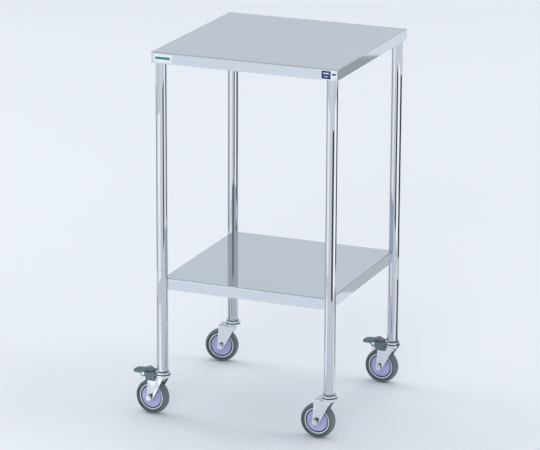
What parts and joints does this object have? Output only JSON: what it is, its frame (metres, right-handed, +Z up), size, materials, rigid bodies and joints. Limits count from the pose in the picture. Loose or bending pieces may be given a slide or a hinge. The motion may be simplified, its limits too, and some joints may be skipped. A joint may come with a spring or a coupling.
{
  "type": "stainless work table",
  "caption": "Small square stainless work table with folded top and lower shelf, tube legs and swivel casters with diagonal toe brakes.",
  "frame": {"origin": "on the floor under the centre of the table top, where the stance centre is", "axes": "+X runs along the labelled front edge, +Y points to the rear and +Z up"},
  "size_m": [0.4996, 0.4506, 0.85],
  "materials": {
    "stainless_sheet": "fine even satin, almost mirror at a low angle",
    "stainless_tube": "polished tube with faint lengthwise grain",
    "stainless_hidden": "mill finish",
    "zinc_steel": "bright zinc plate",
    "tyre_rubber": "matt slate grey",
    "hub_plastic": "smooth lavender moulding",
    "brake_plastic": "fine grained slate moulding",
    "label_white": "plain film",
    "label_blue": "plain film"
  },
  "bodies": {
    "table_frame": {"top_panel": "stainless_sheet", "top_stiffeners": "stainless_hidden", "leg_corner_plates": "stainless_hidden", "lower_shelf": "stainless_sheet", "shelf_stiffener": "stainless_hidden", "leg_front_left": "stainless_tube", "leg_front_right": "stainless_tube", "leg_rear_left": "stainless_tube", "leg_rear_right": "stainless_tube", "leg_inserts": "zinc_steel", "caster_stems": "zinc_steel", "stem_nuts": "zinc_steel", "swivel_caps": "zinc_steel", "label_left": "label_white", "label_right": "label_blue"},
    "caster_front_left": {"fork_front_left": "zinc_steel", "swivel_balls_front_left": "zinc_steel", "axle_front_left": "zinc_steel", "axle_nut_front_left": "zinc_steel", "brake_cover_front_left": "brake_plastic", "pedal_pin_front_left": "zinc_steel"},
    "wheel_front_left": {"tyre_front_left": "tyre_rubber", "wheel_hub_front_left": "hub_plastic", "wheel_bush_front_left": "zinc_steel"},
    "pedal_front_left": {"brake_pedal_front_left": "brake_plastic"},
    "shoe_front_left": {"brake_shoe_front_left": "zinc_steel"},
    "caster_front_right": {"fork_front_right": "zinc_steel", "swivel_balls_front_right": "zinc_steel", "axle_front_right": "zinc_steel", "axle_nut_front_right": "zinc_steel"},
    "wheel_front_right": {"tyre_front_right": "tyre_rubber", "wheel_hub_front_right": "hub_plastic", "wheel_bush_front_right": "zinc_steel"},
    "caster_rear_left": {"fork_rear_left": "zinc_steel", "swivel_balls_rear_left": "zinc_steel", "axle_rear_left": "zinc_steel", "axle_nut_rear_left": "zinc_steel"},
    "wheel_rear_left": {"tyre_rear_left": "tyre_rubber", "wheel_hub_rear_left": "hub_plastic", "wheel_bush_rear_left": "zinc_steel"},
    "caster_rear_right": {"fork_rear_right": "zinc_steel", "swivel_balls_rear_right": "zinc_steel", "axle_rear_right": "zinc_steel", "axle_nut_rear_right": "zinc_steel", "brake_cover_rear_right": "brake_plastic", "pedal_pin_rear_right": "zinc_steel"},
    "wheel_rear_right": {"tyre_rear_right": "tyre_rubber", "wheel_hub_rear_right": "hub_plastic", "wheel_bush_rear_right": "zinc_steel"},
    "pedal_rear_right": {"brake_pedal_rear_right": "brake_plastic"},
    "shoe_rear_right": {"brake_shoe_rear_right": "zinc_steel"}
  },
  "joints": [
    {"name": "swivel_front_left", "type": "hinge", "parent": "table_frame", "child": "caster_front_left", "pos_m": [-0.203, -0.203, 0.095], "axis": [0, 0, 1], "continuous": true},
    {"name": "roll_front_left", "type": "hinge", "parent": "caster_front_left", "child": "wheel_front_left", "pos_m": [-0.22932, -0.19995, 0.04], "axis": [0.1149, 0.9934, 0], "continuous": true},
    {"name": "brake_pedal_front_left", "type": "hinge", "parent": "caster_front_left", "child": "pedal_front_left", "pos_m": [-0.24422, -0.19823, 0.0965], "axis": [-0.1149, -0.9934, 0], "range_deg": [0, 16]},
    {"name": "brake_shoe_front_left", "type": "slide", "parent": "caster_front_left", "child": "shoe_front_left", "axis": [0, 0, -1], "range_m": [0, 0.0016]},
    {"name": "swivel_front_right", "type": "hinge", "parent": "table_frame", "child": "caster_front_right", "pos_m": [0.203, -0.203, 0.095], "axis": [0, 0, 1], "continuous": true},
    {"name": "roll_front_right", "type": "hinge", "parent": "caster_front_right", "child": "wheel_front_right", "pos_m": [0.17653, -0.20171, 0.04], "axis": [0.0488, 0.9988, 0], "continuous": true},
    {"name": "swivel_rear_left", "type": "hinge", "parent": "table_frame", "child": "caster_rear_left", "pos_m": [-0.203, 0.203, 0.095], "axis": [0, 0, 1], "continuous": true},
    {"name": "roll_rear_left", "type": "hinge", "parent": "caster_rear_left", "child": "wheel_rear_left", "pos_m": [-0.22925, 0.1994, 0.04], "axis": [-0.1357, 0.9907, 0], "continuous": true},
    {"name": "swivel_rear_right", "type": "hinge", "parent": "table_frame", "child": "caster_rear_right", "pos_m": [0.203, 0.203, 0.095], "axis": [0, 0, 1], "continuous": true},
    {"name": "roll_rear_right", "type": "hinge", "parent": "caster_rear_right", "child": "wheel_rear_right", "pos_m": [0.1766, 0.20526, 0.04], "axis": [0.0854, 0.9963, 0], "continuous": true},
    {"name": "brake_pedal_rear_right", "type": "hinge", "parent": "caster_rear_right", "child": "pedal_rear_right", "pos_m": [0.16165, 0.20654, 0.0965], "axis": [-0.0854, -0.9963, 0], "range_deg": [0, 16]},
    {"name": "brake_shoe_rear_right", "type": "slide", "parent": "caster_rear_right", "child": "shoe_rear_right", "axis": [0, 0, -1], "range_m": [0, 0.0016]}
  ],
  "couplings": [
    {"joint": "brake_shoe_front_left", "follows": "brake_pedal_front_left", "m_per_rad": 0.005729},
    {"joint": "brake_shoe_rear_right", "follows": "brake_pedal_rear_right", "m_per_rad": 0.005729}
  ]
}
